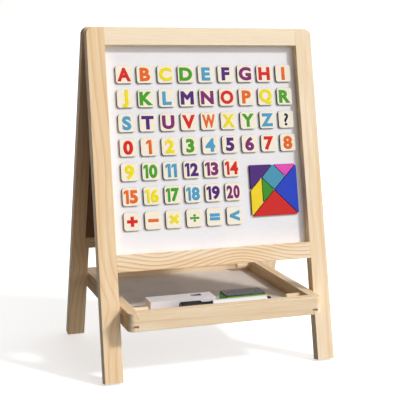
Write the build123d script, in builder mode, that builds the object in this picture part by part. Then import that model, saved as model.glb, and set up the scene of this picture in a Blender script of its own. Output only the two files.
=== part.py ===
from build123d import *
import os
from math import cos, radians, sin

# A table-top easel: two equal frames hinged at the top, held apart by a tray on four pegs.
# Millimetres. X is the width, -Y the front and +Z up. The origin is on the floor, midway
# between the front and the rear feet.

# Frames
frame_width = 350.0
leg_length = 496.5
lean = 12.8
stile_width = 26.6
frame_thickness = 15.0
top_rail_height = 26.0
bottom_rail_height = 24.0
leg_below_rail = 150.1
top_corner_radius = 10.5
outer_edge_radius = 1.2
inner_edge_radius = 0.6

# Boards, each in a rebate cut in the inner side of its frame
board_thickness = 2.4
rebate_depth = 2.6
board_lap = 6.0
board_clearance = 0.4
# How far a cut runs past what it cuts
cut_margin = 2.0

# Dowels that join the rails to the stiles
dowel_radius = 3.0
dowel_length = 30.0
dowel_spacing = 12.0
dowel_clearance = 0.05
dowel_end_clearance = 0.5
dowel_chamfer = 0.6

# Hinges
hinge_spacing = 190.0
hinge_width = 38.0
leaf_length = 20.0
leaf_thickness = 1.2
leaf_corner_radius = 2.0
leaf_lap = 1.0
knuckle_radius = 2.2
knuckle_gap = 0.4
pin_radius = 1.1
pin_clearance = 0.08
hinge_drop = 3.0
hinge_offset = 1.6
screw_spacing = 24.0
screw_head_radius = 3.0
head_taper = 45.0
screw_radius = 1.3
screw_length = 10.0
screw_clearance = 0.1
screw_end_clearance = 0.5

# Tray
tray_height = 77.4
tray_clearance = 3.1
tray_front_reach = 41.2
tray_rear_reach = 29.2
tray_bar_height = 25.7
tray_bar_thickness = 14.6
tray_corner_radius = 9.0
tray_edge_radius = 0.8
floor_thickness = 3.0
floor_rise = 5.4
groove_depth = 8.0
groove_clearance = 0.15

# Pegs that hold the tray to the legs
peg_radius = 5.0
peg_reach = 24.7
peg_in_leg = 12.0
peg_clearance = 0.08
rear_peg_gap = 0.4
peg_end_radius = 1.0

# Letter, number and sign tiles
tile_width = 25.0
tile_height = 26.0
tile_thickness = 3.0
tile_corner_radius = 4.0
tile_edge_radius = 0.7
tile_gap = 6.1
first_tile_x = -120.5
# The board's height that the tiles leave free, shared between the gaps and the top margin
row_gap_share = 0.0785
top_margin_share = 0.245
piece_clearance = 0.05

# Seven-piece puzzle, cut from one square
puzzle_size = 76.8
puzzle_thickness = 3.0
puzzle_gap = 0.8
puzzle_corner_radius = 1.2
puzzle_edge_radius = 0.5
puzzle_left = 62.6

# Chalk in its box
chalk_box_length = 99.0
chalk_box_depth = 28.4
chalk_box_height = 15.6
card_thickness = 0.7
chalk_box_left = -99.0
chalk_box_from_bar = 35.5
window_length = 16.0
window_depth = 11.0
window_from_right = 17.0
window_from_back = 4.0
chalk_radius = 4.4
chalk_tip_radius = 3.7
chalk_length = 80.0
chalk_gap = 0.1

# Marker
marker_radius = 8.2
marker_left = -60.8
marker_from_bar = 16.7
cap_radius = 9.0
cap_length = 30.0
cap_wall = 1.2
cap_end_radius = 1.5
cap_groove_count = 16
cap_groove_radius = 0.8
cap_groove_rise = 0.4
cap_groove_start = 5.0
cap_groove_end = 3.0
collar_radius = 6.6
collar_length = 17.0
collar_in_cap = 14.0
barrel_length = 84.0
marker_plug_radius = 6.4
marker_plug_length = 7.0
marker_spigot_length = 6.0
marker_fit = 0.08
barrel_end_radius = 0.8
plug_end_radius = 1.2
nib_radius = 2.5
nib_length = 12.0
nib_in_collar = 5.0
nib_tip_radius = 2.0

# Eraser
eraser_length = 64.0
eraser_depth = 31.0
eraser_body_height = 13.8
felt_height = 2.2
felt_inset = 0.6
eraser_left = 15.0
eraser_from_bar = 33.7
eraser_corner_radius = 4.0
eraser_edge_radius = 0.8

rest_gap = 0.3

# Where the leaning frames stand
lean_sin = sin(radians(lean))
lean_cos = cos(radians(lean))
inner_width = frame_width - 2 * stile_width
inner_half = inner_width / 2
stile_x = (frame_width - stile_width) / 2
bottom_rail_top = leg_length - leg_below_rail - bottom_rail_height
opening_height = bottom_rail_top - top_rail_height
frame_top_y = hinge_offset * lean_cos - hinge_drop * lean_sin
frame_top_z = leg_length * lean_cos
hinge_z = frame_top_z - hinge_offset * lean_sin - hinge_drop * lean_cos

# On this plane X is across, Y is up the slope from the frame's top and Z points out of it
frame_plane = Plane(
    origin=(0, -frame_top_y, frame_top_z),
    x_dir=(1, 0, 0),
    z_dir=(0, -lean_cos, lean_sin),
)

# The pegs pass through the middle of the legs, halfway between the tray's floor and its top
peg_z = tray_height + (floor_rise + floor_thickness + tray_bar_height) / 2
peg_drop = (frame_top_z + frame_thickness / 2 * lean_sin - peg_z) / lean_cos
peg_y = frame_top_y + peg_drop * lean_sin + frame_thickness / 2 * lean_cos

# Tray outline
tray_width = inner_width - 2 * tray_clearance
tray_front = -peg_y - tray_front_reach
tray_rear = peg_y + tray_rear_reach
tray_depth = tray_rear - tray_front
tray_mid_y = (tray_front + tray_rear) / 2
tray_inner_half = tray_width / 2 - tray_bar_thickness
tray_inner_depth = tray_depth - 2 * tray_bar_thickness
finger_height = tray_bar_height / 3
floor_top = tray_height + floor_rise + floor_thickness
rest_z = floor_top + rest_gap

# Where the loose things lie, measured from the front bar
bar_inner_y = tray_front + tray_bar_thickness
chalk_box_front = bar_inner_y + chalk_box_from_bar
marker_y = bar_inner_y + marker_from_bar
eraser_front = bar_inner_y + eraser_from_bar

# Face that tiles and puzzle lie on, as a distance out of the frame's inner face
board_face = rebate_depth

os.makedirs("parts", exist_ok=True)


def save(part, name):
    part.label = name
    export_step(part, f"parts/{name}.step")


def save_front_and_rear(part, name):
    """The rear frame is the front one turned round."""
    save(part, f"front_{name}")
    with BuildPart() as copy:
        mirror(part, about=Plane.XZ)
    save(copy.part, f"rear_{name}")


def across(x, up=0.0, out=0.0):
    """A plane across the easel at x, with X up the slope and Y out of the frame."""
    origin = frame_plane.from_local_coords((x, up, out))
    return Plane(origin=origin, x_dir=frame_plane.y_dir, z_dir=(1, 0, 0))


def dowel_places(rail_middle):
    middle = frame_thickness / 2
    return [(rail_middle - dowel_spacing / 2, middle), (rail_middle + dowel_spacing / 2, middle)]


rail_middles = [-top_rail_height / 2, -bottom_rail_top - bottom_rail_height / 2]
all_dowel_places = dowel_places(rail_middles[0]) + dowel_places(rail_middles[1])
hinge_places = [-hinge_spacing / 2, hinge_spacing / 2]


# Frames


def stile(side):
    with BuildPart() as post:
        with BuildSketch(frame_plane):
            with Locations((side * stile_x, -leg_length / 2)):
                Rectangle(stile_width, leg_length)
            top_corners = vertices().group_by(Axis.Y)[-1].sort_by(Axis.X)
            fillet(top_corners[0 if side < 0 else -1], top_corner_radius)
        extrude(amount=frame_thickness)
        # Long edges from the outer side inwards, so two are outer and two are inner
        run = Axis(frame_plane.origin, frame_plane.y_dir)
        fillet(edges().filter_by(run).sort_by(Axis.X, reverse=side > 0)[:2], outer_edge_radius)
        fillet(edges().filter_by(run).sort_by(Axis.X, reverse=side > 0)[-2:], inner_edge_radius)
        # Stopped rebate for the board
        with BuildSketch(frame_plane):
            with Locations((0, -top_rail_height - opening_height / 2)):
                Rectangle(
                    inner_width + 2 * (board_lap + board_clearance),
                    opening_height + 2 * (board_lap + board_clearance),
                )
        extrude(amount=rebate_depth, mode=Mode.SUBTRACT)
        dowel_room = dowel_length / 2 + dowel_end_clearance
        with BuildSketch(across(side * inner_half - dowel_room)):
            with Locations(*all_dowel_places):
                Circle(dowel_radius + dowel_clearance)
        extrude(amount=2 * dowel_room, mode=Mode.SUBTRACT)
        # Hole for the tray's peg, from the inner side
        with BuildSketch(Plane.YZ.offset(side * inner_half)):
            with Locations((-peg_y, peg_z)):
                Circle(peg_radius + peg_clearance)
        extrude(amount=side * (peg_in_leg + rest_gap), mode=Mode.SUBTRACT)
    return post.part


def rail(top, height):
    middle = -top - height / 2
    with BuildPart() as bar:
        with BuildSketch(frame_plane):
            with Locations((0, middle)):
                Rectangle(inner_width, height)
        extrude(amount=frame_thickness)
        fillet(edges().filter_by(Axis.X), inner_edge_radius)
        with BuildSketch(frame_plane):
            with Locations((0, -top_rail_height - opening_height / 2)):
                Rectangle(inner_width + cut_margin, opening_height + 2 * (board_lap + board_clearance))
        extrude(amount=rebate_depth, mode=Mode.SUBTRACT)
        dowel_room = dowel_length / 2 + dowel_end_clearance
        for side in (-1, 1):
            with BuildSketch(across(side * inner_half - dowel_room)):
                with Locations(*dowel_places(middle)):
                    Circle(dowel_radius + dowel_clearance)
            extrude(amount=2 * dowel_room, mode=Mode.SUBTRACT)
    return bar.part


def top_rail():
    with BuildPart() as bar:
        add(rail(0, top_rail_height))
        # Room for the hinge knuckles and pilot holes for the hinge screws
        for place in hinge_places:
            with BuildSketch(across(place - hinge_width / 2 - knuckle_gap)):
                with Locations((-hinge_drop, -hinge_offset)):
                    Circle(knuckle_radius + knuckle_gap)
            extrude(amount=hinge_width + 2 * knuckle_gap, mode=Mode.SUBTRACT)
        with BuildSketch(frame_plane):
            with Locations(*screw_places()):
                Circle(screw_radius + screw_clearance)
        extrude(amount=screw_length - leaf_thickness + screw_end_clearance, mode=Mode.SUBTRACT)
    return bar.part


def screw_places():
    drop = hinge_drop + knuckle_radius + (leaf_length - knuckle_radius) / 2
    return [
        (place + step * screw_spacing / 2, -drop) for place in hinge_places for step in (-1, 1)
    ]


def board():
    with BuildPart() as panel:
        with BuildSketch(frame_plane.offset(rebate_depth - board_thickness)):
            with Locations((0, -top_rail_height - opening_height / 2)):
                Rectangle(inner_width + 2 * board_lap, opening_height + 2 * board_lap)
        extrude(amount=board_thickness)
    return panel.part


def dowels():
    with BuildPart() as pegs:
        for side in (-1, 1):
            with BuildSketch(across(side * inner_half - dowel_length / 2)):
                with Locations(*all_dowel_places):
                    Circle(dowel_radius)
            extrude(amount=dowel_length)
        chamfer(edges().filter_by(GeomType.CIRCLE), dowel_chamfer)
    return pegs.part


for side, name in ((-1, "left_stile"), (1, "right_stile")):
    save_front_and_rear(stile(side), name)
save_front_and_rear(top_rail(), "top_rail")
save_front_and_rear(rail(bottom_rail_top, bottom_rail_height), "bottom_rail")
save_front_and_rear(dowels(), "dowels")
save(board(), "whiteboard")
with BuildPart() as blackboard:
    mirror(board(), about=Plane.XZ)
save(blackboard.part, "blackboard")


# Hinges

knuckle_length = (hinge_width - 2 * knuckle_gap) / 3
knuckle_starts = [step * (knuckle_length + knuckle_gap) for step in range(3)]


def hinge_leaf(place, knuckles):
    """A leaf on the front frame's inner face; knuckles says which of the three it carries."""
    left = place - hinge_width / 2
    plate_top = hinge_drop + knuckle_radius + knuckle_gap
    plate_bottom = hinge_drop + leaf_length
    with BuildPart() as leaf:
        with BuildSketch(frame_plane.offset(-leaf_thickness)):
            with Locations((place, -(plate_top + plate_bottom) / 2)):
                Rectangle(hinge_width, plate_bottom - plate_top)
            corners = vertices().group_by(Axis.Y)[0]
            fillet(corners, leaf_corner_radius)
        extrude(amount=leaf_thickness)
        for number in knuckles:
            start = left + knuckle_starts[number]
            with BuildSketch(frame_plane.offset(-leaf_thickness)):
                with Locations((start + knuckle_length / 2, -(hinge_drop + plate_top + leaf_lap) / 2)):
                    Rectangle(knuckle_length, plate_top + leaf_lap - hinge_drop)
            extrude(amount=leaf_thickness)
            with BuildSketch(across(start)):
                with Locations((-hinge_drop, -hinge_offset)):
                    Circle(knuckle_radius)
            extrude(amount=knuckle_length)
        with BuildSketch(across(left)):
            with Locations((-hinge_drop, -hinge_offset)):
                Circle(pin_radius + pin_clearance)
        extrude(amount=hinge_width, mode=Mode.SUBTRACT)
        # Countersunk screw holes
        head = screw_head_radius + screw_clearance
        for spot in screw_places():
            if abs(spot[0] - place) < hinge_width / 2:
                with BuildSketch(frame_plane.offset(-leaf_thickness)):
                    with Locations(spot):
                        Circle(head)
                extrude(amount=leaf_thickness, taper=head_taper, mode=Mode.SUBTRACT)
    return leaf.part


def hinge_pin(place):
    with BuildPart() as pin:
        with BuildSketch(across(place - hinge_width / 2)):
            with Locations((-hinge_drop, -hinge_offset)):
                Circle(pin_radius)
        extrude(amount=hinge_width)
    return pin.part


def hinge_screws():
    with BuildPart() as screws:
        with BuildSketch(frame_plane.offset(-leaf_thickness)):
            with Locations(*screw_places()):
                Circle(screw_head_radius)
        extrude(amount=leaf_thickness, taper=head_taper)
        with BuildSketch(frame_plane.offset(-leaf_thickness)):
            with Locations(*screw_places()):
                Circle(screw_radius)
        extrude(amount=screw_length)
    return screws.part


for place, name in ((hinge_places[0], "left"), (hinge_places[1], "right")):
    save(hinge_leaf(place, [0, 2]), f"{name}_hinge_front_leaf")
    with BuildPart() as rear_leaf:
        mirror(hinge_leaf(place, [1]), about=Plane.XZ)
    save(rear_leaf.part, f"{name}_hinge_rear_leaf")
    save(hinge_pin(place), f"{name}_hinge_pin")
save_front_and_rear(hinge_screws(), "hinge_screws")


# Tray


def tray_outline():
    """The tray's rounded outline as a block, which each of its bars is trimmed to."""
    with BuildPart() as block:
        with BuildSketch(Plane.XY.offset(tray_height)):
            with Locations((0, tray_mid_y)):
                RectangleRounded(tray_width, tray_depth, tray_corner_radius)
        extrude(amount=tray_bar_height)
        fillet(faces().sort_by(Axis.Z)[-1].edges(), tray_edge_radius)
        fillet(faces().sort_by(Axis.Z)[0].edges(), tray_edge_radius)
    return block.part


def end_bar(edge_y):
    """A front or rear bar: its middle fingers fit between the side bars' outer ones."""
    inward = 1 if edge_y < tray_mid_y else -1
    middle_y = edge_y + inward * tray_bar_thickness / 2
    depth = groove_depth + groove_clearance
    corner_x = tray_inner_half + tray_bar_thickness / 2
    with BuildPart() as bar:
        with BuildSketch(Plane.XY.offset(tray_height)):
            with Locations((0, middle_y)):
                Rectangle(tray_width, tray_bar_thickness)
        extrude(amount=tray_bar_height)
        add(tray_outline(), mode=Mode.INTERSECT)
        for step in (0, 2):
            with BuildSketch(Plane.XY.offset(tray_height + step * finger_height)):
                with Locations((-corner_x, middle_y), (corner_x, middle_y)):
                    Rectangle(tray_bar_thickness, tray_bar_thickness)
            extrude(amount=finger_height, mode=Mode.SUBTRACT)
        with BuildSketch(Plane.XY.offset(tray_height + floor_rise - groove_clearance)):
            with Locations((0, edge_y + inward * (tray_bar_thickness - depth / 2))):
                Rectangle(2 * (tray_inner_half + depth), depth)
        extrude(amount=floor_thickness + 2 * groove_clearance, mode=Mode.SUBTRACT)
    return bar.part


def side_bar(side):
    """A side bar: top and bottom fingers at both ends, and a floor groove that runs right through."""
    middle_x = side * (tray_inner_half + tray_bar_thickness / 2)
    depth = groove_depth + groove_clearance
    end_inset = tray_bar_thickness / 2
    with BuildPart() as bar:
        with BuildSketch(Plane.XY.offset(tray_height)):
            with Locations((middle_x, tray_mid_y)):
                Rectangle(tray_bar_thickness, tray_depth)
        extrude(amount=tray_bar_height)
        add(tray_outline(), mode=Mode.INTERSECT)
        with BuildSketch(Plane.XY.offset(tray_height + finger_height)):
            with Locations((middle_x, tray_front + end_inset), (middle_x, tray_rear - end_inset)):
                Rectangle(tray_bar_thickness, tray_bar_thickness)
        extrude(amount=finger_height, mode=Mode.SUBTRACT)
        with BuildSketch(Plane.XY.offset(tray_height + floor_rise - groove_clearance)):
            with Locations((side * (tray_inner_half + depth / 2), tray_mid_y)):
                Rectangle(depth, tray_depth)
        extrude(amount=floor_thickness + 2 * groove_clearance, mode=Mode.SUBTRACT)
        with BuildSketch(Plane.YZ.offset(side * tray_inner_half)):
            with Locations((-peg_y, peg_z), (peg_y, peg_z)):
                Circle(peg_radius + peg_clearance)
        extrude(amount=side * tray_bar_thickness, mode=Mode.SUBTRACT)
    return bar.part


def tray_floor():
    with BuildPart() as panel:
        with BuildSketch(Plane.XY.offset(tray_height + floor_rise)):
            with Locations((0, tray_mid_y)):
                Rectangle(
                    2 * (tray_inner_half + groove_depth),
                    tray_inner_depth + 2 * groove_depth,
                )
        extrude(amount=floor_thickness)
    return panel.part


def peg(side, y, outer_end):
    """A plain dowel through the tray's side into the leg, with eased ends."""
    inner_end = tray_inner_half - peg_reach
    with BuildPart() as rod:
        with BuildSketch(Plane.YZ.offset(side * inner_end)):
            with Locations((y, peg_z)):
                Circle(peg_radius)
        extrude(amount=side * (outer_end - inner_end))
        fillet(edges().filter_by(GeomType.CIRCLE), peg_end_radius)
    return rod.part


save(end_bar(tray_front), "tray_front_bar")
save(end_bar(tray_rear), "tray_rear_bar")
save(side_bar(-1), "tray_left_bar")
save(side_bar(1), "tray_right_bar")
save(tray_floor(), "tray_floor")
for side, name in ((-1, "left"), (1, "right")):
    save(peg(side, -peg_y, inner_half + peg_in_leg), f"front_{name}_peg")
    # The rear pegs stop short of the rear legs, which fold away from the tray
    save(peg(side, peg_y, inner_half - rear_peg_gap), f"rear_{name}_peg")


# Tiles and puzzle on the whiteboard


def row_drop(row):
    """How far down the slope the middle of a row of tiles is."""
    free_height = opening_height - len(tile_rows) * tile_height
    margin = top_rail_height + free_height * top_margin_share
    return margin + tile_height / 2 + row * (tile_height + free_height * row_gap_share)


def tile_row(row, count):
    drop = row_drop(row)
    places = [(first_tile_x + step * (tile_width + tile_gap), -drop) for step in range(count)]
    with BuildPart() as tiles:
        with BuildSketch(frame_plane.offset(board_face + piece_clearance)):
            with Locations(*places):
                RectangleRounded(tile_width, tile_height, tile_corner_radius)
        extrude(amount=tile_thickness)
        front_faces = faces().filter_by(Axis(frame_plane.origin, frame_plane.z_dir))
        front_edges = front_faces.sort_by(Axis(frame_plane.origin, frame_plane.z_dir))[-count:].edges()
        fillet(front_edges, tile_edge_radius)
    return tiles.part


tile_rows = {
    "tiles_a_to_i": 9,
    "tiles_j_to_r": 9,
    "tiles_s_to_z": 9,
    "tiles_0_to_8": 9,
    "tiles_9_to_14": 6,
    "tiles_15_to_20": 6,
    "tiles_signs": 6,
}
for row, (name, count) in enumerate(tile_rows.items()):
    save(tile_row(row, count), name)

# Corners of the seven pieces, in quarters of the puzzle's side from its bottom left corner
puzzle_pieces = {
    "red_large_triangle": [(0, 0), (4, 0), (2, 2)],
    "blue_large_triangle": [(4, 0), (4, 4), (2, 2)],
    "purple_triangle": [(0, 4), (0, 2), (2, 4)],
    "cyan_square": [(1, 3), (2, 2), (3, 3), (2, 4)],
    "pink_small_triangle": [(2, 4), (3, 3), (4, 4)],
    "green_small_triangle": [(1, 1), (2, 2), (1, 3)],
    "yellow_parallelogram": [(0, 0), (1, 1), (1, 3), (0, 2)],
}


def puzzle_piece(corners):
    quarter = puzzle_size / 4
    # Level with the middle of the last three rows of tiles
    bottom = -row_drop(len(tile_rows) - 2) - puzzle_size / 2
    points = [(puzzle_left + u * quarter, bottom + v * quarter) for u, v in corners]
    with BuildPart() as piece:
        with BuildSketch(frame_plane.offset(board_face + piece_clearance)):
            with BuildLine():
                Polyline(*points, close=True)
            make_face()
            offset(amount=-puzzle_gap / 2, kind=Kind.INTERSECTION)
            fillet(vertices(), puzzle_corner_radius)
        extrude(amount=puzzle_thickness)
        front_face = faces().sort_by(Axis(frame_plane.origin, frame_plane.z_dir))[-1]
        fillet(front_face.edges(), puzzle_edge_radius)
    return piece.part


for name, corners in puzzle_pieces.items():
    save(puzzle_piece(corners), f"puzzle_{name}")


# What lies in the tray


def chalk_box():
    """A card box with a window in its top."""
    middle_x = chalk_box_left + chalk_box_length / 2
    middle_y = chalk_box_front + chalk_box_depth / 2
    window_x = chalk_box_left + chalk_box_length - window_from_right - window_length / 2
    window_y = chalk_box_front + chalk_box_depth - window_from_back - window_depth / 2
    with BuildPart() as box:
        with BuildSketch(Plane.XY.offset(rest_z)):
            with Locations((middle_x, middle_y)):
                Rectangle(chalk_box_length, chalk_box_depth)
        extrude(amount=chalk_box_height)
        with BuildSketch(Plane.XY.offset(rest_z + card_thickness)):
            with Locations((middle_x, middle_y)):
                Rectangle(chalk_box_length - 2 * card_thickness, chalk_box_depth - 2 * card_thickness)
        extrude(amount=chalk_box_height - 2 * card_thickness, mode=Mode.SUBTRACT)
        with BuildSketch(Plane.XY.offset(rest_z + chalk_box_height - 2 * card_thickness)):
            with Locations((window_x, window_y)):
                Rectangle(window_length, window_depth)
        extrude(amount=3 * card_thickness, mode=Mode.SUBTRACT)
    return box.part


def chalk_sticks():
    """Three tapered sticks side by side, at the box's right end."""
    start_x = chalk_box_left + chalk_box_length - card_thickness - 2 * chalk_gap - chalk_length
    middle_y = chalk_box_front + chalk_box_depth / 2
    axis_z = rest_z + card_thickness + chalk_gap + chalk_radius
    pitch = 2 * chalk_radius + chalk_gap
    places = [(middle_y + step * pitch, axis_z) for step in (-1, 0, 1)]
    with BuildPart() as sticks:
        for place in places:
            with BuildSketch(Plane.YZ.offset(start_x)):
                with Locations(place):
                    Circle(chalk_tip_radius)
            with BuildSketch(Plane.YZ.offset(start_x + chalk_length)):
                with Locations(place):
                    Circle(chalk_radius)
            loft()
    return sticks.part


marker_z = rest_z + cap_radius


def marker_rod(start_x, length, radius, end_radius=0.0):
    with BuildPart() as rod:
        with BuildSketch(Plane.YZ.offset(start_x)):
            with Locations((marker_y, marker_z)):
                Circle(radius)
        extrude(amount=length)
        if end_radius > 0:
            fillet(edges().filter_by(GeomType.CIRCLE), end_radius)
    return rod.part


collar_start = marker_left + cap_length - collar_in_cap
barrel_start = marker_left + cap_length + collar_length
barrel_end = barrel_start + barrel_length


def marker_cap():
    with BuildPart() as cap:
        add(marker_rod(marker_left, cap_length, cap_radius))
        fillet(edges().filter_by(GeomType.CIRCLE).sort_by(Axis.X)[0], cap_end_radius)
        room = cap_length - 2 * cap_wall
        add(marker_rod(marker_left + 2 * cap_wall, room, collar_radius + marker_fit), mode=Mode.SUBTRACT)
        # Grooves along the cap for the fingers
        with BuildSketch(Plane.YZ.offset(marker_left + cap_groove_start)):
            with Locations((marker_y, marker_z)):
                with PolarLocations(cap_radius + cap_groove_rise, cap_groove_count):
                    Circle(cap_groove_radius)
        extrude(amount=cap_length - cap_groove_start - cap_groove_end, mode=Mode.SUBTRACT)
    return cap.part


def marker_collar():
    """The tip's holder: it plugs into the barrel, and the cap pushes over it."""
    with BuildPart() as collar:
        add(marker_rod(collar_start, barrel_start - collar_start, collar_radius))
        add(marker_rod(barrel_start, marker_spigot_length, collar_radius - cap_wall))
        add(marker_rod(collar_start, nib_in_collar, nib_radius + marker_fit), mode=Mode.SUBTRACT)
    return collar.part


def marker_barrel():
    with BuildPart() as barrel:
        add(marker_rod(barrel_start, barrel_length, marker_radius, barrel_end_radius))
        bore = collar_radius - cap_wall + marker_fit
        add(marker_rod(barrel_start, barrel_length, bore), mode=Mode.SUBTRACT)
    return barrel.part


def marker_plug():
    with BuildPart() as plug:
        add(marker_rod(barrel_end, marker_plug_length, marker_plug_radius))
        fillet(edges().filter_by(GeomType.CIRCLE).sort_by(Axis.X)[-1], plug_end_radius)
        add(marker_rod(barrel_end - marker_spigot_length, marker_spigot_length, collar_radius - cap_wall))
    return plug.part


def marker_nib():
    with BuildPart() as nib:
        add(marker_rod(collar_start + nib_in_collar - nib_length, nib_length, nib_radius))
        fillet(edges().filter_by(GeomType.CIRCLE).sort_by(Axis.X)[0], nib_tip_radius)
    return nib.part


def eraser_block(bottom, height, inset):
    middle_x = eraser_left + eraser_length / 2
    middle_y = eraser_front + eraser_depth / 2
    with BuildPart() as block:
        with BuildSketch(Plane.XY.offset(bottom)):
            with Locations((middle_x, middle_y)):
                RectangleRounded(
                    eraser_length - 2 * inset,
                    eraser_depth - 2 * inset,
                    eraser_corner_radius - inset,
                )
        extrude(amount=height)
        fillet(faces().sort_by(Axis.Z)[-1].edges(), eraser_edge_radius)
    return block.part


save(chalk_box(), "chalk_box")
save(chalk_sticks(), "chalk_sticks")
save(marker_barrel(), "marker_barrel")
save(marker_collar(), "marker_collar")
save(marker_nib(), "marker_nib")
save(marker_cap(), "marker_cap")
save(marker_plug(), "marker_end_plug")
save(eraser_block(rest_z, eraser_body_height, 0), "eraser_body")
save(eraser_block(rest_z + eraser_body_height, felt_height, felt_inset), "eraser_felt")

print("hinge", round(hinge_z, 3), "peg", round(peg_y, 3), round(peg_z, 3))
print("tray", round(tray_front, 2), round(tray_rear, 2), "floor top", round(floor_top, 2))
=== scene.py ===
import math

import bpy
from mathutils import Matrix, Vector


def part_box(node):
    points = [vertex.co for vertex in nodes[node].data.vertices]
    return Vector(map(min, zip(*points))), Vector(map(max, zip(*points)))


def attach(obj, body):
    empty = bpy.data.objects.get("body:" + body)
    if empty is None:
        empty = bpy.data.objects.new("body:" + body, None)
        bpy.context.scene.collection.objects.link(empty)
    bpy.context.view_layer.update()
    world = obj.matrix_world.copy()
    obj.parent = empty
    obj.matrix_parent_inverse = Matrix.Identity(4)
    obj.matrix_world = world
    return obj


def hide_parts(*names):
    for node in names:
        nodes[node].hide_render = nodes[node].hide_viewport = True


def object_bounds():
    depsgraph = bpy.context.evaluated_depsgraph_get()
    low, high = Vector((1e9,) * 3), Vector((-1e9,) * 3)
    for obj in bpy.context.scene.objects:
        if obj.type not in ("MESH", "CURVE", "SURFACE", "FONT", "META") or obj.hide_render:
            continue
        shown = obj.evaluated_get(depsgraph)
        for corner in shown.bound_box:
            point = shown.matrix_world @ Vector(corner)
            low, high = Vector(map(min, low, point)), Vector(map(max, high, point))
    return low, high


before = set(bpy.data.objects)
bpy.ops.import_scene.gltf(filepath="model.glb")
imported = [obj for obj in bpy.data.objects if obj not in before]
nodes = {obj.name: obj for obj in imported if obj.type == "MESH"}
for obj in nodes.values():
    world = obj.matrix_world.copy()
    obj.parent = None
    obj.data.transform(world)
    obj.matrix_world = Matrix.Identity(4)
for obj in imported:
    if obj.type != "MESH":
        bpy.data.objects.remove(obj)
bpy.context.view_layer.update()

bpy.ops.object.select_all(action="DESELECT")

# The front frame's directions, and the rear frame's, from the leaning of the legs
lean = math.radians(12.8)
frameSides = {
    "front": {"up": (0, math.sin(lean), math.cos(lean)), "out": (0, -math.cos(lean), math.sin(lean))},
    "rear": {"up": (0, -math.sin(lean), math.cos(lean)), "out": (0, math.cos(lean), math.sin(lean))},
}
right, ahead, upward = (1, 0, 0), (0, 1, 0), (0, 0, 1)


def paint(red, green, blue):  # a paint chart's 0 to 255 as the shader's own numbers
    def linear(level):
        level /= 255
        return level / 12.92 if level <= 0.04045 else ((level + 0.055) / 1.055) ** 2.4
    return (linear(red), linear(green), linear(blue), 1)


class Wire:
    # One socket that can stand in a sum
    def __init__(self, finish, socket):
        self.finish, self.socket = finish, socket

    def __add__(self, other):
        return self.finish.maths("ADD", self, other)

    def __sub__(self, other):
        return self.finish.maths("SUBTRACT", self, other)

    def __rsub__(self, other):
        return self.finish.maths("SUBTRACT", other, self)

    def __mul__(self, other):
        return self.finish.maths("MULTIPLY", self, other)

    def __truediv__(self, other):
        return self.finish.maths("DIVIDE", self, other)

    def __rtruediv__(self, other):
        return self.finish.maths("DIVIDE", other, self)

    def __pow__(self, other):
        return self.finish.maths("POWER", self, other)

    __radd__ = __add__
    __rmul__ = __mul__


class Finish:
    # A material or world, and the one way its nodes are made
    def __init__(self, name, owner=None, **sockets):
        self.owner = owner or bpy.data.materials.new(name)
        self.owner.use_nodes = True
        self.tree = self.owner.node_tree
        self.shader = self.tree.nodes["Background" if owner else "Principled BSDF"]
        for socket, value in sockets.items():
            self.set(socket, value)

    def feed(self, socket, value):
        if isinstance(value, Wire):
            self.tree.links.new(value.socket, socket)
        else:
            socket.default_value = value

    def set(self, socket, value):
        self.feed(self.shader.inputs[socket.replace("_", " ")], value)

    def node(self, kind, settings=None, values=None, output=0):
        made = self.tree.nodes.new("ShaderNode" + kind)
        for key, value in (settings or {}).items():
            if key == "stops":
                ramp = made.color_ramp.elements
                while len(ramp) < len(value):
                    ramp.new(0.5)
                for stop, (place, level) in zip(ramp, value):
                    stop.position, stop.color = place, (level, level, level, 1)
            else:
                setattr(made, key, value)
        for key, value in (values or {}).items():
            self.feed(made.inputs[key], value)
        return Wire(self, made.outputs[output])

    def maths(self, operation, *values):
        return self.node("Math", {"operation": operation}, dict(enumerate(values)))

    def mix(self, factor, first, second):
        return self.node("Mix", {"data_type": "RGBA"}, {0: factor, 6: first, 7: second}, 2)

    def place(self, output="Object"):
        return self.node("TexCoord", output=output)

    def dot(self, vector, direction):
        return self.node("VectorMath", {"operation": "DOT_PRODUCT"}, {0: vector, 1: direction}, "Value")

    def stretch(self, vector, scales):
        return self.node("VectorMath", {"operation": "MULTIPLY"}, {0: vector, 1: scales})

    def between(self, value, low, high, start=0.0, end=1.0):
        values = {"Value": value, "From Min": low, "From Max": high, "To Min": start, "To Max": end}
        return self.node("MapRange", {"interpolation_type": "SMOOTHSTEP"}, values)

    def noise(self, vector, scale, detail=2.0, roughness=0.5):
        values = {"Vector": vector, "Scale": scale, "Detail": detail, "Roughness": roughness}
        return self.node("TexNoise", None, values, "Fac")

    def bump(self, height, distance, strength=1.0):
        values = {"Height": height, "Distance": distance, "Strength": strength}
        self.set("Normal", self.node("Bump", None, values, "Normal"))


def dress(finish, *names):
    for name in names:
        slots = nodes[name].data.materials
        slots.clear()
        slots.append(finish.owner)


# Pine. A log's rings are cut through by each stick, so faces and ends agree.
pine = {
    "pale": paint(254, 236, 206),
    "warm": paint(244, 213, 168),
    "late": paint(206, 146, 84),
    "ring": [(0.0, 0.0), (0.55, 0.08), (0.84, 0.6), (0.94, 1.0), (1.0, 0.0)],  # early wood, then late
    "drift": (5.0, 24.0, 24.0),  # how often each pattern changes along, across and through a stick
    "fibre": (34.0, 1100.0, 1100.0),
    "cloud": (7.0, 90.0, 60.0),
    "wander": 0.012,
    "streak": 0.16,
    "gloss": 0.35,
    "roughness": 0.44,
    "relief": 0.00018,
}


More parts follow.
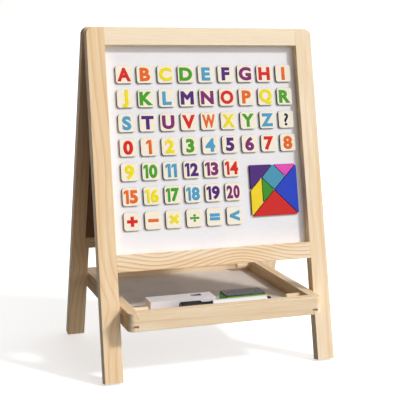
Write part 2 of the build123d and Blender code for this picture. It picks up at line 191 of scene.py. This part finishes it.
def woodFinish(name, along, side, out, heart, spacing, strength, tilt=0.02, swirls=(), toneAndShade=0.0):
    finish = Finish(name, Specular_IOR_Level=pine["gloss"])
    place = finish.place()
    length, width, depth = ways = [finish.dot(place, way) for way in (along, side, out)]

    def pattern(scales, *detail):
        stretched = dict(enumerate(way * scale for way, scale in zip(ways, scales)))
        return finish.noise(finish.node("CombineXYZ", None, stretched), 1.0, *detail)

    drift = pattern(pine["drift"], 2.0) - 0.5
    across = width - heart[0] + length * tilt + drift * pine["wander"]
    deep = depth - heart[1] + drift * pine["wander"] * 0.6
    radius = (across * across + deep * deep) ** 0.5
    for spot, size, lift in swirls:  # the rings bulge round knots that lie inside the stick
        far = finish.node("VectorMath", {"operation": "DISTANCE"}, {0: place, 1: spot}, "Value")
        radius = radius + lift / (1 + (far / size) ** 2.0)
    ring = finish.maths("FRACT", radius / spacing)
    late = finish.node("ValToRGB", {"stops": pine["ring"]}, {"Fac": ring})
    lateness = finish.node("RGBToBW", None, {0: late})
    fibre = pattern(pine["fibre"], 3.0, 0.6)
    cloud = pattern(pine["cloud"], 2.0)
    # the shift towards warm pine is a stick's own tint, and on the left stiles painted shade
    base = finish.mix(finish.between(cloud, 0.3, 0.72) * 0.75 + toneAndShade, pine["pale"], pine["warm"])
    grain = finish.mix(lateness * (0.45 + cloud) * strength, base, pine["late"])
    streak = finish.between(fibre, 0.3, 0.75) * pine["streak"]
    finish.set("Base_Color", finish.mix(streak, grain, pine["late"]))
    finish.set("Roughness", pine["roughness"] + fibre * 0.12 - lateness * 0.06)
    finish.bump(lateness * 0.5 + fibre, pine["relief"], 0.5)
    return finish


# Where the log's heart lies beside and behind the middle of each stick, and how its rings show.
# Each swirl is a place across, up the slope from the bottom rail and out, then its size and lift.
sticks = {
    # The left stiles' large shift darkens and warms them throughout as painted shade; the top rail's paler
    # shift is its own tint.
    "left_stile": {"heart": (0.036, -0.03), "spacing": 0.0075, "strength": 0.42, "tilt": 0.02, "toneAndShade": 0.6,
                   "swirls": [((0.004, -0.055, 0.0), 0.034, 0.014), ((-0.02, 0.14, 0.0), 0.07, 0.006)]},
    "right_stile": {"heart": (0.07, -0.05), "spacing": 0.011, "strength": 0.14, "tilt": -0.012, "toneAndShade": 0.0,
                    "swirls": []},
    "top_rail": {"heart": (0.03, -0.06), "spacing": 0.013, "strength": 0.08, "tilt": 0.008, "toneAndShade": -0.55,
                 "swirls": []},
    "bottom_rail": {"heart": (-0.04, -0.012), "spacing": 0.0058, "strength": 0.95, "tilt": 0.05, "toneAndShade": 0.05,
                    "swirls": [((0.035, -0.03, 0.0), 0.045, -0.03), ((-0.085, 0.03, 0.0), 0.04, 0.02),
                               ((0.12, 0.03, 0.0), 0.035, 0.014)]},
}
otherLog = 0.013  # the two frames come from different sticks
dowelCut = {"heart": 0.03, "spacing": 0.002, "strength": 0.3}
for end, ways in frameSides.items():
    low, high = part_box(f"{end}_bottom_rail")
    railMiddle = (low + high) / 2
    for stick, cut in sticks.items():
        low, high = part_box(f"{end}_{stick}")
        middle = (low + high) / 2
        upright = "stile" in stick
        along, side = (ways["up"], right) if upright else (right, ways["up"])
        shift = 0.0 if end == "front" else otherLog
        heart = (middle.dot(Vector(side)) + cut["heart"][0] + shift,
                 middle.dot(Vector(ways["out"])) + cut["heart"][1])
        swirls = []
        for (aside, rise, proud), size, lift in cut["swirls"]:
            spot = railMiddle + Vector(ways["up"]) * (rise + shift) + Vector(ways["out"]) * proud
            swirls.append(((middle.x + aside, spot.y, spot.z), size, lift))
        finish = woodFinish(f"{end} {stick} pine".replace("_", " "), along, side, ways["out"], heart,
                            cut["spacing"], cut["strength"], cut["tilt"], swirls, cut["toneAndShade"])
        dress(finish, f"{end}_{stick}")
    heart = (0.0, railMiddle.dot(Vector(ways["out"])) + dowelCut["heart"])
    dress(woodFinish(f"{end} dowel pine", right, ways["up"], ways["out"], heart,
                     dowelCut["spacing"], dowelCut["strength"]), f"{end}_dowels")
print("frames in pine")

trayCuts = {
    "tray_front_bar": {"along": right, "side": upward, "out": ahead, "heart": (0.045, -0.09),
                       "strength": 0.26},
    "tray_rear_bar": {"along": right, "side": upward, "out": ahead, "heart": (0.12, 0.16), "strength": 0.4},
    "tray_left_bar": {"along": ahead, "side": upward, "out": right, "heart": (0.07, -0.18), "strength": 0.45},
    "tray_right_bar": {"along": ahead, "side": upward, "out": right, "heart": (0.06, 0.17), "strength": 0.4},
}
trayRings = {"spacing": 0.011, "tilt": 0.022}
pegCut = {"heart": -0.012, "spacing": 0.0024, "strength": 0.25}
for name, cut in trayCuts.items():
    dress(woodFinish(name.replace("_", " ") + " pine", cut["along"], cut["side"], cut["out"], cut["heart"],
                     trayRings["spacing"], cut["strength"], trayRings["tilt"]), name)
for end in ("front", "rear"):
    for side in ("left", "right"):
        name = f"{end}_{side}_peg"
        low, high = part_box(name)
        middle = (low + high) / 2
        dress(woodFinish(name.replace("_", " ") + " wood", right, upward, ahead,
                         (middle.z + pegCut["heart"], middle.y), pegCut["spacing"], pegCut["strength"]), name)
print("tray and pegs in pine")

# Boards: a coated face on brown hardboard, which shows at the back and the edges
boardLook = {
    "whiteboard": {"end": "front", "coat": paint(244, 242, 245), "mark": paint(226, 225, 230),
                   "roughness": 0.24, "rub": (9, 26, 26), "amount": 0.5, "grit": 0.05},
    "blackboard": {"end": "rear", "coat": paint(38, 44, 42), "mark": paint(96, 102, 100), "roughness": 0.72,
                   "rub": (7, 40, 40), "amount": 0.42, "grit": 0.8},
}
hardboard = {"brown": paint(150, 106, 68), "dark": paint(112, 76, 46), "coatDepth": 0.0005, "fibres": 320.0,
             "grit": 1500.0, "roughness": 0.85}
for board, look in boardLook.items():
    coat = Finish(f"{board} coat", Specular_IOR_Level=0.35)
    place = coat.place()
    out = frameSides[look["end"]]["out"]
    face = max(vertex.co.dot(Vector(out)) for vertex in nodes[board].data.vertices)
    coatBack = face - hardboard["coatDepth"]
    coated = coat.between(coat.dot(place, out), coatBack, coatBack + hardboard["coatDepth"] / 2)
    rubbed = coat.between(coat.noise(coat.stretch(place, look["rub"]), 1.0, 4.0), 0.44, 0.78) * look["amount"]
    grit = coat.noise(place, hardboard["grit"], 2.0)
    fibres = coat.noise(place, hardboard["fibres"], 5.0, 0.7)
    front = coat.mix(rubbed, look["coat"], look["mark"])
    back = coat.mix(fibres, hardboard["brown"], hardboard["dark"])
    coat.set("Base_Color", coat.mix(coated, back, front))
    coat.set("Roughness", (look["roughness"] + rubbed * 0.3) * coated + (1 - coated) * hardboard["roughness"])
    coat.bump(grit * look["grit"] + (1 - coated) * fibres, 0.0001, 0.5)
    dress(coat, board)

panelCoat = {"white": paint(230, 220, 211), "scuff": paint(206, 194, 182), "roughness": 0.5}
trayPanel = Finish("tray panel coat", Specular_IOR_Level=0.35)
place = trayPanel.place()
scuff = trayPanel.between(trayPanel.noise(place, 22.0, 5.0, 0.6), 0.45, 0.8)
trayPanel.set("Base_Color", trayPanel.mix(scuff * 0.6, panelCoat["white"], panelCoat["scuff"]))
trayPanel.set("Roughness", panelCoat["roughness"] + scuff * 0.15)
trayPanel.bump(trayPanel.noise(place, 700.0, 2.0), 0.00006, 0.4)
dress(trayPanel, "tray_floor")

plating = {"light": paint(186, 184, 178), "dark": paint(150, 147, 140), "lines": (60, 900, 900),
           "roughness": 0.28, "relief": 0.00005}
zinc = Finish("zinc plated steel", Metallic=0.9)
drawn = zinc.noise(zinc.stretch(zinc.place(), plating["lines"]), 1.0, 2.0)
zinc.set("Base_Color", zinc.mix(drawn, plating["light"], plating["dark"]))
zinc.set("Roughness", plating["roughness"] + drawn * 0.25)
zinc.bump(drawn, plating["relief"], 0.4)
for side in ("left", "right"):
    dress(zinc, f"{side}_hinge_front_leaf", f"{side}_hinge_rear_leaf", f"{side}_hinge_pin")
dress(zinc, "front_hinge_screws", "rear_hinge_screws")
print("boards and hinges finished")

# Tiles: a cream face on a dark magnet sheet, whose dark colour runs up the sides to just under the face,
# partly the magnet and partly painted shade along the edges
outward = Vector(frameSides["front"]["out"])
upSlope = Vector(frameSides["front"]["up"])
tileRows = {
    "tiles_a_to_i": "A B C D E F G H I",
    "tiles_j_to_r": "J K L M N O P Q R",
    "tiles_s_to_z": "S T U V W X Y Z ?",
    "tiles_0_to_8": "0 1 2 3 4 5 6 7 8",
    "tiles_9_to_14": "9 10 11 12 13 14",
    "tiles_15_to_20": "15 16 17 18 19 20",
    "tiles_signs": "+ − × ÷ = <",
}
tileLook = {"face": paint(252, 246, 230), "shade": paint(241, 228, 200), "magnet": paint(30, 24, 22),
            "thickness": 0.003, "width": 0.025, "magnetAndShadeDepth": 0.0027, "fade": 0.0002, "roughness": 0.42}
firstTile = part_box("tiles_a_to_i")
tileBack = ((firstTile[0] + firstTile[1]) / 2).dot(outward) - tileLook["thickness"] / 2


def twoLayerFinish(name, face, shade, core, roughness):
    finish = Finish(name, Specular_IOR_Level=0.22)
    place = finish.place()
    height = finish.dot(place, tuple(outward)) - tileBack
    # below this height the sides take the dark magnet colour, raised high as painted shade along the tile
    # edges
    printed = finish.between(height, tileLook["magnetAndShadeDepth"], tileLook["magnetAndShadeDepth"] + tileLook["fade"])
    mottle = finish.noise(place, 160.0, 3.0)
    finish.set("Base_Color", finish.mix(printed, core, finish.mix(mottle * 0.6, face, shade)))
    finish.set("Roughness", roughness + mottle * 0.14 + (1 - printed) * 0.25)
    finish.bump(finish.noise(place, 900.0, 2.0), 0.00005, 0.35)
    return finish


tileFinish = twoLayerFinish("cream tile", tileLook["face"], tileLook["shade"], tileLook["magnet"],
                            tileLook["roughness"])
dress(tileFinish, *tileRows)

puzzlePaints = {
    "red_large_triangle": ((218, 24, 18), (190, 16, 14)),
    "blue_large_triangle": ((24, 66, 204), (16, 50, 176)),
    "purple_triangle": ((78, 30, 124), (62, 22, 104)),
    "cyan_square": ((74, 156, 188), (58, 136, 168)),
    "pink_small_triangle": ((236, 82, 190), (212, 62, 166)),
    "green_small_triangle": ((56, 152, 34), (42, 128, 26)),
    "yellow_parallelogram": ((250, 220, 30), (236, 200, 16)),
}
puzzleRoughness = 0.3
for name, (face, shade) in puzzlePaints.items():
    finish = twoLayerFinish(name.replace("_", " ") + " paint", paint(*face), paint(*shade),
                            tileLook["magnet"], puzzleRoughness)
    dress(finish, f"puzzle_{name}")
print("tiles and puzzle painted")


def settle():  # the piece keeps its place in its mesh, and its object goes to the origin
    bpy.ops.object.transform_apply(location=True, rotation=True, scale=True)


def mode(name):
    bpy.ops.object.mode_set(mode=name)


def drawOut(x, y, z):  # extrudes whatever is selected
    bpy.ops.mesh.extrude_region_move(TRANSFORM_OT_translate={"value": (x, y, z)})


def closeUp(piece, easing):  # all faces outwards, and every edge eased
    bpy.ops.mesh.select_all(action="SELECT")
    bpy.ops.mesh.normals_make_consistent(inside=False)
    mode("OBJECT")
    edging = piece.modifiers.new("eased", "BEVEL")
    edging.width, edging.segments = easing, 2
    bpy.ops.object.modifier_apply(modifier="eased")


# Printed letters, numbers and signs
glyphLook = {"size": 0.0252, "bold": 0.0014, "thin": 0.0006, "thinSigns": "?÷", "rise": 0.0004, "wide": 1.08,
             "widest": 0.0205, "gap": 0.0011, "pairHeight": 0.96}
oneLook = {"stroke": 0.0043, "flagOut": 0.0031, "flagDrop": 0.0026, "flagDepth": 0.0043, "round": 0.00025}
glyphPaints = [
    ("red", (222, 26, 14)), ("orange", (236, 104, 20)), ("yellow", (246, 228, 20)), ("green", (72, 162, 24)),
    ("light blue", (78, 162, 206)), ("purple", (80, 30, 124)), ("plum", (130, 34, 112)),
    ("navy", (28, 20, 78)),
]


def inkFinish(name, colour):
    finish = Finish(name + " ink", Specular_IOR_Level=0.18)
    place = finish.place()
    patch = finish.noise(place, 420.0, 3.0)
    deep = tuple(level * 0.78 for level in colour[:3]) + (1,)
    finish.set("Base_Color", finish.mix(finish.between(patch, 0.4, 0.8) * 0.5, colour, deep))
    finish.set("Roughness", 0.34 + patch * 0.14)
    finish.bump(patch, 0.00004, 0.4)
    return finish.owner


inks = [inkFinish(name, paint(*colour)) for name, colour in glyphPaints]


def textCharacter(sign):
    bpy.ops.object.select_all(action="DESELECT")
    bpy.ops.object.text_add()
    letter = bpy.context.object
    bold = glyphLook["thin" if sign in glyphLook["thinSigns"] else "bold"]
    letter.data.body = sign
    letter.data.size = glyphLook["size"]
    letter.data.bevel_depth = bold  # the round edge fattens the strokes, and is flattened below
    letter.data.bevel_resolution = 2
    letter.data.resolution_u = 5
    bpy.ops.object.convert(target="MESH")
    bpy.ops.object.origin_set(type="ORIGIN_GEOMETRY", center="BOUNDS")
    letter.location = (0, 0, 0)
    letter.scale.z = glyphLook["rise"] / bold
    settle()
    return letter


def numberOne(height):  # a stem whose top left edge is drawn out into a flag
    stroke, flag = oneLook["stroke"] / 2, height / 2 - oneLook["flagDepth"]
    slack = stroke * 0.01
    bpy.ops.object.select_all(action="DESELECT")
    bpy.ops.mesh.primitive_plane_add(size=1, location=(0, 0, -glyphLook["rise"]))
    one = bpy.context.object
    one.scale = (oneLook["stroke"], height, 1)
    settle()
    mode("EDIT")
    bpy.ops.mesh.select_all(action="SELECT")
    bpy.ops.mesh.bisect(plane_co=(0, flag, 0), plane_no=(0, 1, 0))
    bpy.ops.mesh.select_all(action="DESELECT")
    mode("OBJECT")
    for edge in one.data.edges:
        ends = [one.data.vertices[number].co for number in edge.vertices]
        edge.select = all(end.x < slack - stroke and end.y > flag - slack for end in ends)
    mode("EDIT")
    bpy.ops.mesh.select_mode(type="EDGE")
    drawOut(-oneLook["flagOut"], -oneLook["flagDrop"], 0)
    bpy.ops.mesh.select_all(action="SELECT")
    drawOut(0, 0, 2 * glyphLook["rise"])
    closeUp(one, oneLook["round"])
    return one


figure = textCharacter("0")
figureHeight = figure.dimensions.y
bpy.data.objects.remove(figure)


def joinUp(parts):
    bpy.ops.object.select_all(action="DESELECT")
    for part in parts:
        part.select_set(True)
    bpy.context.view_layer.objects.active = parts[0]
    if len(parts) > 1:
        bpy.ops.object.join()
    return bpy.context.object


def glyph(sign, centre, ink):
    parts, edge = [], 0.0
    for character in sign:
        part = numberOne(figureHeight) if character == "1" else textCharacter(character)
        first = min(vertex.co.x for vertex in part.data.vertices)
        part.data.transform(Matrix.Translation((edge - first, 0, 0)))
        edge += part.dimensions.x + glyphLook["gap"]
        parts.append(part)
    letter = joinUp(parts)
    bpy.ops.object.origin_set(type="ORIGIN_GEOMETRY", center="BOUNDS")
    squeeze = min(glyphLook["wide"], glyphLook["widest"] / letter.dimensions.x)
    tall = glyphLook["pairHeight"] if len(sign) > 1 else 1
    turn = Matrix([(1, 0, 0), tuple(upSlope), tuple(outward)]).transposed().to_4x4()
    letter.matrix_world = Matrix.Translation(centre) @ turn @ Matrix.Diagonal((squeeze, tall, 1, 1))
    settle()
    letter.data.materials.clear()
    for material in inks:
        letter.data.materials.append(material)
    for face in letter.data.polygons:
        face.material_index = ink
    return letter


# Colours run on from A to Z, start again at 0, and again at the signs
firstInk = {"tiles_j_to_r": 9, "tiles_s_to_z": 18, "tiles_9_to_14": 9, "tiles_15_to_20": 15}
ownInk = {"?": 7, "<": 4}
inkRound = 7
for row, text in tileRows.items():
    signs = text.split()
    low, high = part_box(row)
    middle = (low + high) / 2 + outward * (tileLook["thickness"] / 2)
    pitch = (high.x - low.x - tileLook["width"]) / (len(signs) - 1)
    letters = []
    for step, sign in enumerate(signs):
        ink = ownInk.get(sign, (firstInk.get(row, 0) + step) % inkRound)
        x = low.x + tileLook["width"] / 2 + step * pitch
        letters.append(glyph(sign, Vector((x, middle.y, middle.z)), ink))
    printed = joinUp(letters)
    settle()
    printed.name = "print_" + row
    bpy.ops.object.shade_smooth_by_angle(angle=math.radians(35))
    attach(printed, row)
print("letters, numbers and signs printed")

# What lies in the tray
cardLook = {"white": paint(242, 238, 240), "worn": paint(222, 208, 212), "fibres": 500.0, "wear": 60.0,
            "roughness": 0.4, "relief": 0.00008}
card = Finish("coated card", Specular_IOR_Level=0.4)
place = card.place()
fibres = card.noise(place, cardLook["fibres"], 4.0, 0.6)
worn = card.between(card.noise(place, cardLook["wear"], 4.0), 0.5, 0.8)
card.set("Base_Color", card.mix(worn * 0.5 + fibres * 0.1, cardLook["white"], cardLook["worn"]))
card.set("Roughness", cardLook["roughness"] + fibres * 0.2)
card.bump(fibres, cardLook["relief"], 0.4)
dress(card, "chalk_box")

# The box's tucked end flaps, each a folded card with a thumb notch at its top edge
flapCut = {"thickness": 0.0003, "inset": 0.0012, "notch": 0.006, "notchDepth": 0.003}
low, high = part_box("chalk_box")
for side, x, outwards in (("left", low.x, -1), ("right", high.x, 1)):
    bpy.ops.object.select_all(action="DESELECT")
    middle = (low + high) / 2
    height, depth = high.z - low.z - flapCut["inset"] * 2, high.y - low.y - flapCut["inset"] * 2
    bpy.ops.mesh.primitive_grid_add(x_subdivisions=9, y_subdivisions=1, size=1)
    flap = bpy.context.object
    flap.name = f"box_flap_{side}"
    turn = Matrix([(0, outwards, 0), (0, 0, 1), (outwards, 0, 0)]).transposed().to_4x4()
    spread = Matrix.Diagonal((depth, height, 1, 1))
    flap.matrix_world = Matrix.Translation((x, middle.y, middle.z)) @ turn @ spread
    settle()
    for vertex in flap.data.vertices:  # the notch is pressed into the top edge, deepest in the middle
        vertex.select = vertex.co.z > middle.z and abs(vertex.co.y - middle.y) < flapCut["notch"]
    for vertex in flap.data.vertices:
        if vertex.select:
            share = 1 - ((vertex.co.y - middle.y) / flapCut["notch"]) ** 2
            vertex.co.z -= flapCut["notchDepth"] * share
    mode("EDIT")
    bpy.ops.mesh.select_all(action="SELECT")
    drawOut(outwards * flapCut["thickness"], 0, 0)
    closeUp(flap, flapCut["thickness"] / 3)
    flap.data.materials.append(card.owner)
    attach(flap, "chalk")

chalkLook = {"pink": paint(232, 84, 128), "red": paint(214, 66, 104), "powder": paint(248, 226, 230),
             "change": (0.32, 0.35), "roughness": 0.85, "relief": 0.00025}
chalk = Finish("stick chalk", Specular_IOR_Level=0.1)
place = chalk.place()
low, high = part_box("chalk_sticks")
change = [low.y + (high.y - low.y) * share for share in chalkLook["change"]]
stick = chalk.between(chalk.dot(place, ahead), *change)
powder = chalk.noise(place, 900.0, 5.0, 0.65)
tint = chalk.mix(stick, chalkLook["pink"], chalkLook["red"])
chalk.set("Base_Color", chalk.mix(powder * 0.35, tint, chalkLook["powder"]))
chalk.set("Roughness", chalkLook["roughness"] + powder * 0.12)
chalk.bump(powder, chalkLook["relief"], 0.7)
dress(chalk, "chalk_sticks")


moulding = {"grain": 1400.0, "scuffs": 90.0, "relief": 0.00006}


def mouldedFinish(name, colour, shade, roughness):
    finish = Finish(name, Specular_IOR_Level=0.45)
    place = finish.place()
    pebble = finish.noise(place, moulding["grain"], 2.0)
    scuff = finish.between(finish.noise(place, moulding["scuffs"], 5.0, 0.6), 0.55, 0.8)
    finish.set("Base_Color", finish.mix(scuff * 0.4, colour, shade))
    finish.set("Roughness", roughness + scuff * 0.2 + pebble * 0.05)
    finish.bump(pebble, moulding["relief"], 0.35)
    return finish


dress(mouldedFinish("marker barrel plastic", paint(244, 243, 245), paint(226, 225, 230), 0.2),
      "marker_barrel")
dress(mouldedFinish("marker black plastic", paint(24, 24, 26), paint(52, 52, 56), 0.36),
      "marker_cap", "marker_collar", "marker_end_plug")
dress(mouldedFinish("eraser green plastic", paint(92, 186, 48), paint(72, 160, 36), 0.34), "eraser_body")


def feltFinish(name, dark, light, relief):
    finish = Finish(name, Specular_IOR_Level=0.1, Sheen_Weight=0.3)
    place = finish.place()
    hairs = finish.noise(place, 1500.0, 6.0, 0.75)
    tufts = finish.noise(place, 420.0, 3.0)
    finish.set("Base_Color", finish.mix(finish.between(hairs * 0.6 + tufts * 0.4, 0.38, 0.66), dark, light))
    finish.set("Roughness", 0.9 + hairs * 0.08)
    finish.bump(hairs + tufts, relief, 0.9)
    return finish


# The felt pad: a pressed block with rounded corners and a fibrous surface
pad = {"corner": 0.0032, "edge": 0.0005, "voxel": 0.0006, "fuzz": 0.00022, "seed": 7}
nearly = 0.00001
low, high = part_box("eraser_felt")
bpy.ops.object.select_all(action="DESELECT")
bpy.ops.mesh.primitive_cube_add(size=1, location=(low + high) / 2, scale=high - low)
felt = bpy.context.object
felt.name = "felt_pad"
settle()
mode("EDIT")
bpy.ops.mesh.select_all(action="DESELECT")
mode("OBJECT")
for edge in felt.data.edges:
    first, second = (felt.data.vertices[number].co for number in edge.vertices)
    edge.select = abs(first.z - second.z) > (high.z - low.z) / 2
mode("EDIT")
bpy.ops.mesh.select_mode(type="EDGE")
bpy.ops.mesh.bevel(offset=pad["corner"], segments=4)
mode("OBJECT")
for edge in felt.data.edges:
    edge.select = all(felt.data.vertices[number].co.z > high.z - nearly for number in edge.vertices)
mode("EDIT")
bpy.ops.mesh.bevel(offset=pad["edge"], segments=2)
mode("OBJECT")
remesh = felt.modifiers.new("even", "REMESH")
remesh.mode = "VOXEL"
remesh.voxel_size = pad["voxel"]
bpy.ops.object.modifier_apply(modifier="even")
for vertex in felt.data.vertices:
    vertex.select = vertex.co.z > low.z + pad["edge"]
mode("EDIT")
bpy.ops.mesh.select_mode(type="VERT")
bpy.ops.transform.vertex_random(offset=pad["fuzz"], seed=pad["seed"])
mode("OBJECT")
bpy.ops.object.shade_smooth()
feltGrey = feltFinish("eraser felt", paint(40, 36, 40), paint(122, 114, 116), 0.0005)
felt.data.materials.append(feltGrey.owner)
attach(felt, "eraser")
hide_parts("eraser_felt")
dress(feltFinish("marker tip felt", paint(16, 16, 20), paint(50, 50, 58), 0.0002), "marker_nib")
print("tray things finished")

# Floor, light and camera
studio = {"floor": 1000.0, "floorTone": paint(252, 252, 252), "floorGlow": 0.58, "floorDrop": 0.0002,
          "keyLight": {"power": 2.0, "size": 8.0, "from": (0.62, -0.58, 0.66)},
          "frontLight": {"power": 0.42, "size": 50.0, "from": (0.22, -1.0, 0.34)}}
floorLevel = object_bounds()[0][2] - studio["floorDrop"]
bpy.ops.mesh.primitive_plane_add(size=studio["floor"], location=(0, 0, floorLevel))
floor = bpy.context.object
floor.name = "studio_floor"
settle()
floorFinish = Finish("pale floor", Roughness=0.8)
floorFinish.set("Base_Color", studio["floorTone"])
floorFinish.set("Emission_Color", studio["floorTone"])
floorFinish.set("Emission_Strength", studio["floorGlow"])
floor.data.materials.append(floorFinish.owner)
floor.visible_diffuse = False

# The sky dims and warms towards the left, and dims overhead and below the horizon
skyLook = {"bright": 1.1, "dim": 0.13, "dimming": (-0.5, 0.3), "plain": (1, 0.99, 0.98, 1),
           "warm": (1, 0.74, 0.48, 1), "warming": (-0.6, 0.0), "below": 0.25, "horizon": (-0.02, 0.0),
           "overhead": 0.55, "climb": (0.12, 0.7)}
sky = Finish("studio", bpy.data.worlds.new("studio"))
bpy.context.scene.world = sky.owner
direction = sky.place("Generated")
sideways = sky.dot(direction, right)
climb = sky.dot(direction, upward)
glow = sky.between(sideways, *skyLook["dimming"], skyLook["dim"], skyLook["bright"])
above = sky.between(climb, *skyLook["horizon"], skyLook["below"], 1.0)
overheadDim = sky.between(climb, *skyLook["climb"], 1.0, skyLook["overhead"])
sky.set("Strength", glow * above * overheadDim)
sky.set("Color", sky.mix(sky.between(sideways, *skyLook["warming"]), skyLook["warm"], skyLook["plain"]))

for name in ("keyLight", "frontLight"):
    bpy.ops.object.light_add(type="SUN")
    lamp = bpy.context.object
    lamp.name = name
    lamp.data.energy = studio[name]["power"]
    lamp.data.angle = math.radians(studio[name]["size"])
    lamp.rotation_euler = Vector(studio[name]["from"]).to_track_quat("Z", "Y").to_euler()

lens = {"place": (-0.4938, -1.3707, 0.4976), "turn": 19.965, "down": 7.542, "roll": 0.727,
        "length": 87.926, "sensor": 36, "shiftY": -0.125, "reach": 2000}
bpy.ops.object.camera_add()
camera = bpy.context.object
turn, down, roll = (math.radians(lens[key]) for key in ("turn", "down", "roll"))
forward = Vector((math.sin(turn) * math.cos(down), math.cos(turn) * math.cos(down), -math.sin(down)))
flat = Vector((math.cos(turn), -math.sin(turn), 0))
overhead = flat.cross(forward)
sideAxis = flat * math.cos(roll) + overhead * math.sin(roll)
topAxis = overhead * math.cos(roll) - flat * math.sin(roll)
axes = Matrix([sideAxis, topAxis, -forward]).transposed().to_4x4()
camera.matrix_world = Matrix.Translation(lens["place"]) @ axes
camera.data.lens = lens["length"]
camera.data.sensor_width = lens["sensor"]
camera.data.shift_y = lens["shiftY"]
camera.data.clip_end = lens["reach"]
bpy.context.scene.camera = camera
bpy.context.scene.view_settings.view_transform = "Standard"
print("floor, light and camera set")
